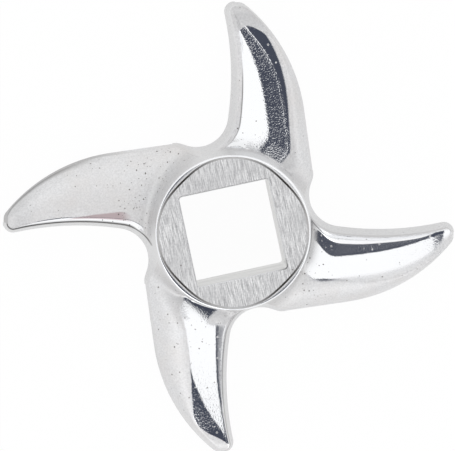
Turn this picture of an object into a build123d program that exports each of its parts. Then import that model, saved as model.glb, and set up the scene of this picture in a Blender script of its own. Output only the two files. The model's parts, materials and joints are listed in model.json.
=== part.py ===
from build123d import *
from math import atan2, cos, degrees, radians, sin, sqrt, tan
import os

# Meat grinder knife: one casting, a pinwheel of four curved arms round a hub with
# a square drive hole. Millimetres. The plate side, with the ground cutting strips,
# is down at z = 0 and the ground face of the hub is up. The drive hole's sides
# lie along X and Y, and the hub's axis is Z.

# --- hub ------------------------------------------------------------------------
drive_square = 24.0  # side of the square drive hole
drive_corner = 0.8  # rounding in the corners of that hole
hub_height = 22.0  # plate side to ground hub face
hub_face_radius = 20.0  # ground face at the top of the hub
hub_edge_chamfer = 0.4  # broken edge round the ground face
hub_foot_radius = 22.0  # hub side where it meets the plate side
flare_top = 12.5  # height where the hub side begins to spread on to the arms
flare_radius = 9.0  # hollow of that spread
flare_slope = 50.0  # degrees from vertical at which the spread runs out

# --- arms in plan, with the arm pointing along +Y -----------------------------------
arm_count = 4
arm_turn = -12.0  # degrees, the first arm against the sides of the square
tip_radius = 60.0  # hub axis to the tips
tip_width = 5.4  # width of a tip before its corners are rounded
tip_rounding = 2.7  # rounding of those two corners
cutting_bow = 78.0  # radius of the hollow cutting edge
cutting_middle = 40.2  # how far out that edge is hollowest
cutting_offset = 0.6  # how far the edge lies behind the hub axis there
shoulder_out = 31.4  # how far out the trailing edge turns from straight to bulging
shoulder_width = 20.1  # hub axis to the trailing edge there
valley_floor = 22.6  # hub axis to the bottom of the hollow between two arms
valley_rounding = 8.5  # radius of that hollow
valley_top_rounding = 8.0  # the same where the arms' tops meet the hub
root_lean = 18.0  # degrees, lean of the short edge that leaves the hollow
root_step = 2.6  # length of that edge, up to the corner at the arm's root
root_rounding = 4.0  # rounding of that corner

# --- arms in height -------------------------------------------------------------
wall_setback = 1.8  # how far the leading wall leans back on its way up to the crest
crest_root_height = 9.4  # crest of the leading wall, beside the hub
crest_tip_height = 7.2  # the same at the tip
crest_land = 0.3  # narrow flat along the crest
scoop_depth = 2.2  # hollow of the arm's top below the crest
scoop_end = 57.5  # how far out the hollow has run out
scoop_fading = 4  # power by which the hollow fades towards that end
ridge_slope = 0.12  # rise of the hollow's far side where it reaches the ridge
ridge_root_height = 8.7  # ridge behind the hollow, beside the hub
ridge_tip_height = 6.4  # the same at the tip
ridge_root_inset = 6.5  # ridge to trailing edge, beside the hub
ridge_tip_inset = 1.6  # the same at the tip
back_root_height = 4.4  # thickness left along the trailing edge, beside the hub
back_tip_height = 1.9  # the same at the tip
tip_fall = 4.5  # rounding of an arm's end as seen from its side

# --- pulls on the curves of an arm's cross-section, as shares ------------------------
scoop_entry = 0.12  # of the scoop's width, where it turns after the plunge
scoop_plunge = 1.1  # of the scoop's depth, how far it plunges from the crest
scoop_rise = 0.55  # of the scoop's width, the straight rise to the ridge
back_run_on = 0.45  # of the back's width, the straight run over the ridge
back_turn = 0.2  # of the back's width, where it turns down
back_drop = 0.5  # of the back's height, how steeply it turns down

# --- plate side -----------------------------------------------------------------
cutting_land = 3.0  # flat ground strip along each cutting edge
relief_depth = 0.9  # step up behind that strip
relief_start = 15.0  # how far out along the arm that step begins

overlap = 1.0  # length by which bodies pass the faces that trim them
web_reach = 9.0  # how far an arm's top runs on across the valley beside it
section_start = 8.0  # first cross-section of an arm, inside the hub
section_count = 8  # cross-sections along an arm


def tangent(angle):
    return tan(radians(angle))


def right_side_of_circle(centre, radius, y):
    return centre.X + sqrt(radius**2 - (y - centre.Y) ** 2)


def left_of(direction):
    """The direction a quarter turn to the left."""
    return Vector(-direction.Y, direction.X)


# --- outline of one arm -------------------------------------------------------------
cutting_centre = Vector(cutting_offset - cutting_bow, cutting_middle)


def cutting_x(y):
    """Place of the cutting edge at a distance y along the arm."""
    return right_side_of_circle(cutting_centre, cutting_bow, y)


def valley_centre():
    """Centre of the hollow that touches the cutting edge of the arm to the right."""
    neighbour = cutting_centre.rotate(Axis.Z, -360 / arm_count)
    from_axis = valley_floor + valley_rounding
    from_neighbour = cutting_bow - valley_rounding
    distance = neighbour.length
    forward = (from_axis**2 - from_neighbour**2 + distance**2) / (2 * distance)
    sideways = sqrt(from_axis**2 - forward**2)
    towards = neighbour.normalized()
    return towards * forward - left_of(towards) * sideways


# From the hollow, the trailing edge is a short root edge, a corner, a straight run
# to the shoulder, and one arc that goes on from that run to the tip.
root_direction = Vector(sin(radians(root_lean)), cos(radians(root_lean)))
root_start = valley_centre() + left_of(root_direction) * valley_rounding
corner = root_start + root_direction * root_step
shoulder = Vector(shoulder_width, shoulder_out)
inward = left_of((shoulder - corner).normalized())
back_tip = Vector(cutting_x(tip_radius) + tip_width, tip_radius)
back_bow = (back_tip - shoulder).length ** 2 / (2 * (back_tip - shoulder).dot(inward))
back_centre = shoulder + inward * back_bow


def back_x(y):
    """Place of the trailing edge at a distance y along the arm."""
    if y < shoulder_out:
        share = (shoulder_out - y) / (shoulder_out - corner.Y)
        return shoulder_width + (corner.X - shoulder_width) * share
    return right_side_of_circle(back_centre, back_bow, y)


def along(y, beside_hub, at_tip):
    """Size that changes evenly from the hub's face radius to the tip."""
    share = (y - hub_face_radius) / (tip_radius - hub_face_radius)
    return beside_hub + (at_tip - beside_hub) * share


def wall_inset(height):
    """How far a wall has leaned back at some height."""
    return wall_setback * height / crest_root_height


def arm_outline():
    """Plan of one arm with sharp corners, run on to the hub axis and past the tip circle."""
    beyond = tip_radius + overlap
    front_root = (cutting_x(corner.Y), corner.Y)
    front_middle = (cutting_x(cutting_middle), cutting_middle)
    front_end = (cutting_x(beyond), beyond)
    back_end = (back_x(beyond), beyond)
    bulge_y = (shoulder_out + beyond) / 2
    foot = corner - root_direction * (corner.Y / root_direction.Y)
    with BuildSketch() as outline:
        with BuildLine():
            Line((0, 0), front_root)
            ThreePointArc(front_root, front_middle, front_end)
            Line(front_end, back_end)
            ThreePointArc(back_end, (back_x(bulge_y), bulge_y), shoulder)
            Polyline(shoulder, corner, foot, (0, 0))
        make_face()
        Circle(tip_radius, mode=Mode.INTERSECT)
    return outline.sketch


def rounded(pinwheel, inset, hollow):
    """Round the tips, the root corners and the valleys of a sharp pinwheel outline."""
    tips = pinwheel.vertices().sort_by_distance((0, 0, 0))[-2 * arm_count :]
    pinwheel = fillet(tips, tip_rounding - inset)
    corners = pinwheel.vertices().sort_by_distance((0, 0, 0))[arm_count : 2 * arm_count]
    pinwheel = fillet(corners, root_rounding - inset)
    valleys = pinwheel.vertices().sort_by_distance((0, 0, 0))[:arm_count]
    return fillet(valleys, hollow)


def wall_body():
    """The pinwheel raised from the plate side, with walls that lean back as they rise."""
    arm = arm_outline()
    pinwheel = Sketch() + [Rot(Z=turn * 360 / arm_count) * arm for turn in range(arm_count)]
    top_inset = wall_inset(flare_top)
    narrowed = offset(pinwheel, amount=-top_inset, kind=Kind.INTERSECTION)
    foot = rounded(pinwheel, 0, valley_rounding)
    top = rounded(narrowed, top_inset, valley_top_rounding)
    return loft([foot.face(), Pos(Z=flare_top) * top.face()], ruled=True)


# --- arms -----------------------------------------------------------------------
def arm_section(y):
    """Cross-section of an arm: crest, scoop, ridge and rounded back, closed below."""
    crest_height = along(y, crest_root_height, crest_tip_height)
    ridge_height = along(y, ridge_root_height, ridge_tip_height)
    back_height = along(y, back_root_height, back_tip_height)
    back = back_x(y)
    ridge = back - along(y, ridge_root_inset, ridge_tip_inset)
    scoop_start = cutting_x(y) + wall_inset(crest_height) + crest_land
    fading = 1 - (min(y, scoop_end) / scoop_end) ** scoop_fading
    slope = ridge_slope * fading
    width = ridge - scoop_start
    back_width = back - ridge
    rise = scoop_rise * width
    run_on = back_run_on * back_width
    drop = back_drop * (ridge_height - back_height)
    scoop = Bezier(
        (scoop_start, y, crest_height),
        (scoop_start + scoop_entry * width, y, crest_height - scoop_plunge * scoop_depth * fading),
        (ridge - rise, y, ridge_height - rise * slope),
        (ridge, y, ridge_height),
    )
    rounded_back = Bezier(
        (ridge, y, ridge_height),
        (ridge + run_on, y, ridge_height + run_on * slope),
        (back - back_turn * back_width, y, back_height + drop),
        (back, y, back_height),
    )
    outside = back + overlap
    below = Polyline(
        (back, y, back_height),
        (outside, y, back_height - overlap),
        (outside, y, -overlap),
        (-web_reach, y, -overlap),
        (-web_reach, y, crest_height),
        (scoop_start, y, crest_height),
    )
    return Face(Wire([scoop, rounded_back] + below.edges()))


def arm_body():
    """One arm with its scooped top, run on inside the hub and past the tip."""
    step = (tip_radius + overlap - section_start) / (section_count - 1)
    return loft([arm_section(section_start + step * number) for number in range(section_count)])


# --- hub ------------------------------------------------------------------------
def hub_body():
    """Turned hub with a leaning side and a broken edge round its ground face."""
    with BuildSketch(Plane.XZ) as profile:
        with BuildLine():
            Polyline(
                (0, 0),
                (hub_foot_radius, 0),
                (hub_face_radius + hub_edge_chamfer, hub_height - hub_edge_chamfer),
                (hub_face_radius, hub_height),
                (0, hub_height),
                close=True,
            )
        make_face()
    return revolve(profile.sketch, Axis.Z)


def flare_body():
    """Hollow spread from the hub's leaning side down on to the arms."""
    side_height = hub_height - hub_edge_chamfer
    side_fall = hub_foot_radius - hub_face_radius - hub_edge_chamfer
    side_lean = degrees(atan2(side_fall, side_height))
    side_radius = hub_foot_radius - side_fall * flare_top / side_height

    def on_hollow(angle):
        start, here = radians(side_lean), radians(angle)
        return (
            side_radius + flare_radius * (cos(start) - cos(here)),
            flare_top + flare_radius * (sin(start) - sin(here)),
        )

    run_out = on_hollow(flare_slope)
    foot_radius = run_out[0] + (run_out[1] + overlap) * tangent(flare_slope)
    with BuildSketch(Plane.XZ) as profile:
        with BuildLine():
            middle = on_hollow((side_lean + flare_slope) / 2)
            ThreePointArc(on_hollow(side_lean), middle, run_out)
            Polyline(run_out, (foot_radius, -overlap), (0, -overlap), (0, flare_top), on_hollow(side_lean))
        make_face()
    return revolve(profile.sketch, Axis.Z)


# --- trimming --------------------------------------------------------------------
def tip_cutter():
    """Ring that rounds the ends of the arms down to their tips."""
    inner = tip_radius - tip_fall
    height = along(inner, crest_root_height, crest_tip_height)
    with BuildSketch(Plane.XZ) as profile:
        with BuildLine():
            RadiusArc((inner, height), (tip_radius, height - tip_fall), tip_fall)
            Polyline(
                (tip_radius, height - tip_fall),
                (tip_radius + overlap, height - tip_fall),
                (tip_radius + overlap, height + overlap),
                (inner, height + overlap),
                (inner, height),
            )
        make_face()
    return revolve(profile.sketch, Axis.Z)


def relief_cutter():
    """Room behind one arm's ground cutting strip, on the plate side."""
    cutting_side = Pos(cutting_centre) * Circle(cutting_bow + cutting_land)
    reach = tip_radius + overlap
    area = Pos(0, relief_start) * Rectangle(reach, reach, align=(Align.MIN, Align.MIN))
    area = area - cutting_side - Circle(hub_foot_radius + overlap)
    return Pos(Z=-overlap) * extrude(area, amount=relief_depth + overlap, dir=(0, 0, 1))


def round_the_hub(body):
    """The body once for each arm."""
    return [Rot(Z=arm_turn + turn * 360 / arm_count) * body for turn in range(arm_count)]


def drive_hole():
    square = RectangleRounded(drive_square, drive_square, drive_corner)
    return Pos(Z=-overlap) * extrude(square, amount=hub_height + 2 * overlap)


def knife():
    tops = flare_body() + round_the_hub(arm_body())
    arms = tops & (Rot(Z=arm_turn) * wall_body())
    arms = arms - tip_cutter()
    casting = hub_body() + arms
    casting = casting - round_the_hub(relief_cutter())
    return casting - drive_hole()


os.makedirs("parts", exist_ok=True)
grinder_knife = knife()
export_step(grinder_knife, "parts/grinder_knife.step")
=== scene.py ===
# %% [markdown]
# # A meat grinder knife
#
# The knife is one stainless casting: four curved arms round a hub with a square drive
# hole. In the grinder it turns on the feed screw, with its flat side against the hole
# plate, and the sharp hollow edges of the arms shear the meat at the holes. Here it
# lies on that flat side, so the ground hub face and the scooped arm tops are up.
#
# The fixed frame comes first. It is the measured solid, and everything below is drawn
# in its millimetres and turned to Blender's metres at the end.

# %% Load the frame
import json
import math

import bmesh
import bpy
import numpy as np
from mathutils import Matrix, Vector

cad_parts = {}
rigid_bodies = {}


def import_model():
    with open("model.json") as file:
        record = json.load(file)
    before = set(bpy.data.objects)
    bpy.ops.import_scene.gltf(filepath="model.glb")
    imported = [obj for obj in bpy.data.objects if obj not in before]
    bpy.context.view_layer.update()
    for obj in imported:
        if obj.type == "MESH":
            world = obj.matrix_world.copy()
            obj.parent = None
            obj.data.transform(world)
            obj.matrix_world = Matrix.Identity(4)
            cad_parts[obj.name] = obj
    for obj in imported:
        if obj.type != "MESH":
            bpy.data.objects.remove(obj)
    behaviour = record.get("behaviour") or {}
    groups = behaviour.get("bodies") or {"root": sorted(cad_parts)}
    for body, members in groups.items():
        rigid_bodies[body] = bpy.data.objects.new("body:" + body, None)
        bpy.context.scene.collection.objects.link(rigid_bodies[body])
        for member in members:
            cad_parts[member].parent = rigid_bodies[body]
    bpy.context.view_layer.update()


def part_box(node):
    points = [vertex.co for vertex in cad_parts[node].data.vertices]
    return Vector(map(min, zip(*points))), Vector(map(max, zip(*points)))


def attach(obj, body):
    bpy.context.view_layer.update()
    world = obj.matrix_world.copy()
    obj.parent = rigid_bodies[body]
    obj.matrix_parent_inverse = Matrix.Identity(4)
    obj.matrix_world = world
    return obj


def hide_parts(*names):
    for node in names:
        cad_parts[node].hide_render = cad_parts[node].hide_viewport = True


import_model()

millimetre = 0.001
hub_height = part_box("grinder_knife")[1][2] / millimetre

# %% [markdown]
# ## The sizes
#
# The solid carries the sizes that matter for fit. A finished surface needs them again,
# because a mesh that is to catch the light smoothly is laid out along the shape's own
# lines: along the crest, across the scoop, round the hub. One arm is drawn pointing
# along +Y, with its cutting edge to the left.

# %% Sizes, in millimetres
arm_count = 4
arm_turn = -12.0  # degrees, the first arm against the sides of the square
tip_radius = 60.0
tip_width = 5.4
tip_rounding = 2.7
cutting_bow = 78.0  # radius of the hollow cutting edge
cutting_middle = 40.2
cutting_offset = 0.6
shoulder = np.array([20.1, 31.4])  # where the trailing edge begins to bulge
valley_floor = 22.6
valley_rounding = 8.5
root_lean = math.radians(18.0)
root_step = 2.6
root_rounding = 4.0

drive_square = 24.0
drive_corner = 0.8
hub_face_radius = 20.0
hub_edge_chamfer = 0.4
hub_foot_radius = 22.0
flare_top = 12.5  # height where the hub side begins to spread on to the arms
flare_radius = 9.0
flare_end = math.radians(50.0)  # slope, from vertical, at which that spread runs out

wall_setback = 1.8  # lean of the walls over the height of the crest
crest_heights = (9.4, 7.2)  # beside the hub, at the tip
back_heights = (4.4, 1.9)
tip_fall = 4.5
cutting_land = 3.0
relief_depth = 0.9
relief_start = 15.0
relief_hub_gap = 1.0  # the relief stays this far out from the hub's foot


def along(y, sizes):
    """Size that changes evenly from the hub's face radius to the tip."""
    return sizes[0] + (sizes[1] - sizes[0]) * (y - hub_face_radius) / (tip_radius - hub_face_radius)


print("crest heights 10 mm apart:", [round(along(y, crest_heights), 2) for y in (20, 30, 40, 50, 60)])

# %% [markdown]
# ## The outline of one arm
#
# The outline is a handful of arcs and two straight runs, each tangent to the next. It
# could be drawn by hand as a curve, but arcs have one great advantage: the way inwards
# from any point is known exactly, so the leaning walls follow without a guess.

# %% Directions and meeting points in the plan


def unit(vector):
    return vector / np.linalg.norm(vector)


def left_of(direction):
    return np.array([-direction[1], direction[0]])


def around(angles):
    """Points of the unit circle at some angles."""
    return np.stack([np.cos(angles), np.sin(angles)], 1)


def turned(points, angle):
    """Plan points turned about the hub axis by an angle in degrees."""
    turn = math.radians(angle)
    matrix = np.array([[math.cos(turn), math.sin(turn)], [-math.sin(turn), math.cos(turn)]])
    return np.asarray(points) @ matrix


def meeting(centre_a, radius_a, centre_b, radius_b, side):
    """Where two circles meet, to the left of the line from a to b (side 1) or right (-1)."""
    distance = np.linalg.norm(centre_b - centre_a)
    forward = (radius_a**2 - radius_b**2 + distance**2) / (2 * distance)
    towards = unit(centre_b - centre_a)
    return centre_a + towards * forward + side * left_of(towards) * math.sqrt(radius_a**2 - forward**2)


def sweep_of(centre, start, end):
    """Radius, first angle and sweep of the short way round a centre."""
    first, last = start - centre, end - centre
    sweep = math.atan2(first[0] * last[1] - first[1] * last[0], first @ last)
    return np.linalg.norm(first), math.atan2(first[1], first[0]), sweep


def circle_points(centre, start, end, count):
    """Points from start to end round a centre, the short way."""
    radius, angle, sweep = sweep_of(centre, start, end)
    return centre + radius * around(angle + np.linspace(0, sweep, count))


print("a quarter turn takes", [1, 0], "to", turned([1, 0], 90).round(3).tolist())

# %% Pieces of an outline, each with the way into the arm
sampling = 0.1  # spacing of the outline's points


def arc(centre, start, end, hollow):
    """Points from start to end round a centre, with the way into the arm at each."""
    radius, angle, sweep = sweep_of(centre, start, end)
    outwards = around(angle + np.linspace(0, sweep, 2 + int(radius * abs(sweep) / sampling)))
    return centre + radius * outwards, outwards if hollow else -outwards


def straight(start, end, inwards):
    points = np.linspace(start, end, 2 + int(np.linalg.norm(end - start) / sampling))
    return points, np.tile(inwards, (len(points), 1))


def joined(first, *others):
    """Pieces of outline end to end, without the doubled points between them."""
    return [np.vstack([part, *[other[kind][1:] for other in others]]) for kind, part in enumerate(first)]


print("a run of 1 mm has", len(straight(np.zeros(2), np.array([1, 0]), np.array([0, 1]))[0]), "points")

# %% Centres of the arcs
hub_axis = np.zeros(2)
cutting_centre = np.array([cutting_offset - cutting_bow, cutting_middle])
right_cutting_centre = turned(cutting_centre, -90)
right_valley = meeting(
    hub_axis, valley_floor + valley_rounding, right_cutting_centre, cutting_bow - valley_rounding, -1
)
left_valley = turned(right_valley, 90)

root_direction = np.array([math.sin(root_lean), math.cos(root_lean)])
root_start = right_valley + left_of(root_direction) * valley_rounding
corner = root_start + root_direction * root_step
run_direction = unit(shoulder - corner)
run_inwards = left_of(run_direction)
tip_front_x = cutting_centre[0] + math.sqrt(cutting_bow**2 - (tip_radius - cutting_middle) ** 2)
back_tip = np.array([tip_front_x + tip_width, tip_radius])
reach = back_tip - shoulder
back_bow = (reach @ reach) / (2 * reach @ run_inwards)
back_centre = shoulder + run_inwards * back_bow

front_rounding = meeting(hub_axis, tip_radius - tip_rounding, cutting_centre, cutting_bow + tip_rounding, -1)
back_rounding = meeting(hub_axis, tip_radius - tip_rounding, back_centre, back_bow - tip_rounding, -1)
print("tip roundings:", front_rounding.round(2), back_rounding.round(2), "bulge radius", round(back_bow, 1))

# %% The two sides of the outline, from the tip inwards
tip_front = unit(front_rounding) * tip_radius  # the tip of the arm, where both sides start
tip_back = unit(back_rounding) * tip_radius
front_tangent = front_rounding + unit(cutting_centre - front_rounding) * tip_rounding
back_tangent = back_rounding + unit(back_rounding - back_centre) * tip_rounding
valley_tangent = left_valley + unit(left_valley - cutting_centre) * valley_rounding

root_direction_in = unit(root_start - corner)
half_turn = math.acos(-run_direction @ root_direction_in) / 2
corner_trim = root_rounding * math.tan(half_turn)
corner_centre = corner + run_direction * corner_trim + run_inwards * root_rounding
corner_start = corner + run_direction * corner_trim
corner_end = corner + root_direction_in * corner_trim

left_floor = -unit(left_valley)
right_floor = -unit(right_valley)
cutting_side = joined(
    arc(front_rounding, tip_front, front_tangent, hollow=False),
    arc(cutting_centre, front_tangent, valley_tangent, hollow=True),
    arc(left_valley, valley_tangent, left_valley + left_floor * valley_rounding, hollow=True),
)
trailing_side = joined(
    arc(hub_axis, tip_front, tip_back, hollow=False),
    arc(back_rounding, tip_back, back_tangent, hollow=False),
    arc(back_centre, back_tangent, shoulder, hollow=False),
    straight(shoulder, corner_start, run_inwards),
    arc(corner_centre, corner_start, corner_end, hollow=False),
    straight(corner_end, root_start, left_of(root_direction)),
    arc(right_valley, root_start, right_valley + right_floor * valley_rounding, hollow=True),
)
print("outline points: cutting side", len(cutting_side[0]), "and trailing side", len(trailing_side[0]))

# %% [markdown]
# ## Heights
#
# The arm's top is three surfaces run into each other: the cross-section of the arm, the
# hollow spread at the foot of the hub, and the rounded end. Casting patterns have no
# knife edges inside a corner, so where two surfaces meet, the higher one wins with a
# small blend, and at the tip the lower one wins with a small blend. Two short formulas
# do that for every point, and no fillet ever has to be cut.

# %% Blended heights
blend_at_hub = 1.6
blend_at_tip = 0.6
blunting_bite = 6.0  # a bite this deep would leave no blend at the hub at all

side_fall = hub_foot_radius - hub_face_radius - hub_edge_chamfer
side_lean = math.atan2(side_fall, hub_height - hub_edge_chamfer)
ring_radius = hub_foot_radius - side_fall * flare_top / (hub_height - hub_edge_chamfer)


def higher(a, b, blend):
    near = np.maximum(blend - np.abs(a - b), 0) / blend
    return np.maximum(a, b) + near**2 * blend / 4


def lower(a, b, blend):
    return -higher(-a, -b, blend)


def spread_height(radius):
    """Height of the hollow spread that runs from the hub's side down on to the arms."""
    slope_here = math.cos(side_lean) - (radius - ring_radius) / flare_radius
    angle = np.arccos(np.clip(slope_here, math.cos(flare_end), math.cos(side_lean)))
    end_radius = ring_radius + flare_radius * (math.cos(side_lean) - math.cos(flare_end))
    beyond = np.maximum(radius - end_radius, 0) / math.tan(flare_end)
    return flare_top + flare_radius * (math.sin(side_lean) - np.sin(angle)) - beyond


def tip_limit(radius):
    """Greatest height near the tips, where the arms' ends are rounded."""
    start = tip_radius - tip_fall
    after = np.clip(radius - start, 0, tip_fall)
    before = np.maximum(start - radius, 0)
    return along(start, crest_heights) - tip_fall + np.sqrt(tip_fall**2 - after**2) + before


def blended(height, points, bite=0):
    """Height run into the hub's spread, which a bite sets back, and under the rounded tip."""
    radius = np.linalg.norm(points, axis=-1)
    bitten = radius + bite * np.clip(2 * (radius - ring_radius) / blend_at_hub, 0, 1)
    crisp = blend_at_hub * (1 - bite / blunting_bite)
    return lower(higher(height, spread_height(bitten), crisp), tip_limit(radius), blend_at_tip)


def wall_inset(height):
    return wall_setback * np.minimum(height, crest_heights[0]) / crest_heights[0]


print("the hub's side leans", round(math.degrees(side_lean), 1), "degrees")

# %% [markdown]
# ## The upper edges
#
# Each wall leans back as it rises, so its upper edge is the outline moved inwards by a
# distance that depends on how high the wall is there, which in turn depends on where
# the edge is. Going round that circle a few times settles both.

# %% Upper edges of the walls, from the hub out to the tip
tip_easing = 3.0  # distance from the tip over which both edges come to one height
rounds_to_settle = 6
foot_xy, edge_xy, edge_y = slice(0, 2), slice(2, 4), slice(3, 4)  # columns of the edges' rows
wall_top, own_height = 4, 5  # with the blend at the hub and the tip, and without it


def upper_edge(side, sizes):
    """Rows of foot, upper edge, wall height and the arm's own height, from the hub outwards."""
    points, inwards = side
    steps = np.linalg.norm(np.diff(points, axis=0), axis=1)
    from_tip = np.concatenate([[0], np.cumsum(steps)])
    easing = np.exp(-((from_tip / tip_easing) ** 2))
    edge_height = along(points[:, 1], sizes)
    edge_height = edge_height + (crest_heights[1] - edge_height) * easing
    height = edge_height
    for _ in range(rounds_to_settle):
        edge = points + inwards * wall_inset(height)[:, None]
        height = blended(edge_height, edge)
    radius = np.linalg.norm(edge, axis=1)
    last = np.argmax((radius < ring_radius) & (from_tip > tip_radius / 2))
    share = (radius[last - 1] - ring_radius) / (radius[last - 1] - radius[last])
    rows = np.column_stack([points, edge, height, edge_height])
    meet = rows[last - 1] + (rows[last] - rows[last - 1]) * share
    meet[edge_xy] = unit(meet[edge_xy]) * ring_radius
    meet[wall_top] = flare_top
    return np.vstack([rows[:last], meet])[::-1]


front_edge = upper_edge(cutting_side, crest_heights)
back_edge = upper_edge(trailing_side, back_heights)


def ring_angle(row):
    x, y = row[edge_xy]
    return math.degrees(math.atan2(y, x))


print("the crest meets the hub at", round(ring_angle(front_edge[0]), 1), "degrees,",
      "the trailing edge at", round(ring_angle(back_edge[0]), 1))

# %% [markdown]
# ## Hand-ground scoops
#
# Each scoop is hollowed on a belt by hand, so no two of the four are quite alike. All
# fall from the crest and glide to a lowest line. Three then rise a little to a ridge,
# and one, which the belt hardly hollowed, leans back at once. Behind that they roll over
# to a thin trailing edge. What differs is where those lines run, and how far the buffing
# reached. A metal this bright shows it: a line where the slope turns over is a line
# where the reflected room turns over. So a scoop is written down as lines along the arm,
# each given by its place across the arm at a few stations.

# %% What a scoop is made of
stations = (18, 24, 32, 40, 47, 51, 54, 57)  # distances of the stations from the hub axis
line_softness = 3.5  # millimetres along the arm over which a line bends at a station
line_spacing = 0.05
steady = np.ones(len(stations))


class Scoop:
    """How one arm was ground and buffed. A line gives shares of the arm's width, from the crest."""

    fall = None  # line where the steep fall from the crest ends
    floor = None  # lowest line
    ridge = None  # line where the rise ends
    shoulder = 0 * steady  # line where the back begins to roll over, if that is past the ridge
    belt_mark = None  # line of a raised mark that the belt's edge left
    rise = None  # slope between the lowest line and the ridge, at each station
    depth = None  # of the lowest line under the crest, beside the hub and at the tip
    roll = None  # power of the roll-over beside the hub and at the tip: 2 is a round one
    glide = 0.0  # slope where the steep fall ends
    land = 0.1  # width of the narrow land along the crest
    dip = 0.0  # how much deeper the scoop is at its very root
    bite = 0.0  # how far the belt cut into the foot of the hub
    bite_middle = 0.11  # share of the width from the lowest line to the middle of that cut

    buffed = None  # line that the buffing reached
    edge = (0.02, 0.02)  # how softly it ends there, beside the hub and at the tip
    start, start_edge = 17.0, 0.8  # distance out at which the buffing begins, and how softly
    end = 99.0  # distance out at which it ends
    crest_polish = 1.0  # polish between the crest and the lowest line
    matte_corner = 0.0  # share of the width, from the crest, that stays matt at the root
    bare_land = False  # whether the buffing left out the land
    peel = 0.0  # orange peel in the buffed metal
    pits = 0.0  # pits in the skin near the root
    stain = 0.0  # painted reddish reflection beside the crest
    burr, burr_end = 1.0, 99.0  # painted shade along the crest, and the distance out at which it ends
    root_shade, edge_shade, tip_shade = 0.0, 0.0, 0.0  # painted shade at the root, trailing edge and tip

    def __init__(self, **ground):
        self.__dict__.update(ground)


def line_at(line, y):
    """Place of a line across the arm, some way out from the hub axis."""
    places = np.arange(stations[0] - 10, stations[-1] + 10, line_spacing)
    window = np.hanning(int(2 * line_softness / line_spacing))
    smooth = np.convolve(np.interp(places, stations, line), window / window.sum(), mode="same")
    return np.interp(y, places, smooth)


slanting = np.array(stations) / 100
print("a slanting line, 18 and 40 mm out:", line_at(slanting, np.array([18, 40])).round(3))

# %% The four scoops
scoops = [
    Scoop(
        fall=(0.355, 0.375, 0.375, 0.33, 0.255, 0.185, 0.11, 0.05),
        floor=(0.375, 0.395, 0.395, 0.35, 0.275, 0.205, 0.13, 0.07),
        ridge=(0.69, 0.735, 0.785, 0.815, 0.85, 0.86, 0.86, 0.80),
        belt_mark=(0.62, 0.66, 0.69, 0.67, 0.58, 0.45, 0.32, 0.20),
        rise=0.085 * steady, depth=(1.6, 0.7), roll=(2.0, 2.4), glide=0.12, land=1.1, dip=0.16, bite=5.4,
        buffed=(0.625, 0.692, 0.752, 0.78, 0.81, 0.815, 0.80, 0.76),
        edge=(0.03, 0.08), start=17.2, end=53.8, bare_land=True,
        peel=1.0, pits=0.15, burr=0.0, tip_shade=0.16,
    ),
    Scoop(
        fall=0.07 * steady,
        floor=(0.17, 0.16, 0.12, 0.09, 0.09, 0.09, 0.09, 0.09),
        ridge=0.20 * steady,
        rise=-0.02 * steady, depth=(0.38, 0.30), roll=(2.2, 4.0), glide=0.04, land=0.10,
        buffed=(0.065, 0.065, 0.065, 0.075, 0.085, 0.08, 0.065, 0.065),
        edge=(0.012, 0.012), start=18.5,
        pits=1.0, stain=1.0, burr=1.0, tip_shade=0.10, edge_shade=0.64,
    ),
    Scoop(
        fall=(0.03, 0.025, 0.02, 0.015, 0.015, 0.015, 0.015, 0.015),
        floor=(0.12, 0.10, 0.08, 0.06, 0.04, 0.03, 0.03, 0.03),
        ridge=(0.56, 0.51, 0.515, 0.48, 0.37, 0.265, 0.13, 0.05),
        shoulder=(0.58, 0.53, 0.52, 0.54, 0.64, 0.78, 0.80, 0.60),
        rise=(0.03, 0.19, 0.16, 0.14, 0.13, 0.12, 0.10, 0.05),
        depth=(0.75, 0.50), roll=(2.2, 2.4), glide=0.14, land=0.14, bite=3.4, bite_middle=0.24,
        buffed=(0.58, 0.49, 0.50, 0.515, 0.64, 0.80, 0.76, 0.05),
        start=16.8, crest_polish=0.52, matte_corner=0.26,
        peel=0.62, pits=0.6, burr=0.5, burr_end=48,
    ),
    Scoop(
        fall=(0.02, 0.115, 0.12, 0.10, 0.10, 0.11, 0.06, 0.0),
        floor=(0.15, 0.26, 0.255, 0.22, 0.185, 0.16, 0.12, 0.08),
        ridge=(0.50, 0.54, 0.63, 0.72, 0.76, 0.76, 0.76, 0.76),
        shoulder=(0.56, 0.585, 0.635, 0.72, 0.76, 0.76, 0.76, 0.76),
        rise=(0.12, 0.12, 0.12, 0.12, 0.12, 0.12, 0.10, 0.07),
        depth=(1.9, 0.5), roll=(2.0, 2.4), glide=0.08, land=0.28, bite=2.0,
        buffed=(0.50, 0.59, 0.62, 0.65, 0.68, 0.68, 0.66, 0.40),
        edge=(0.04, 0.36), start=18.2, start_edge=2.2, crest_polish=0.8,
        peel=0.3, pits=0.5, burr=0.2, root_shade=0.20, tip_shade=0.06,
    ),
]
print("scoops:", len(scoops), "with the buffing ending at", [scoop.end for scoop in scoops], "mm")

# %% [markdown]
# ## The mesh of one arm
#
# The top is a grid: rows run across the arm from the crest to the trailing edge, and
# step outwards from the hub to the tip. Beside the hub they bend round it, further out
# they are straight, and at the tip they shrink to a point. The points crowd together at
# the crest and at the trailing edge, where the surface turns most. The walls are a
# second grid, whose columns start at the row ends, so both share their edge.

# %% Rows of the grid
points_across = 84
rows_in_spread = 16
rows_on_arm = 128
edge_crowding = 0.72  # how much closer the points lie at the two edges
hub_crowding = 1.6  # power by which the rows crowd towards the hub
tip_crowding = 0.35  # share of the arm's rows that crowd towards the tip
spread_width = 5.6  # how far out from the hub the rows still bend round it
straight_share = 0.35  # share of the arm's length by which they are straight

across = np.linspace(0, 1, points_across)
across = across - edge_crowding * np.sin(2 * np.pi * across) / (2 * np.pi)


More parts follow.
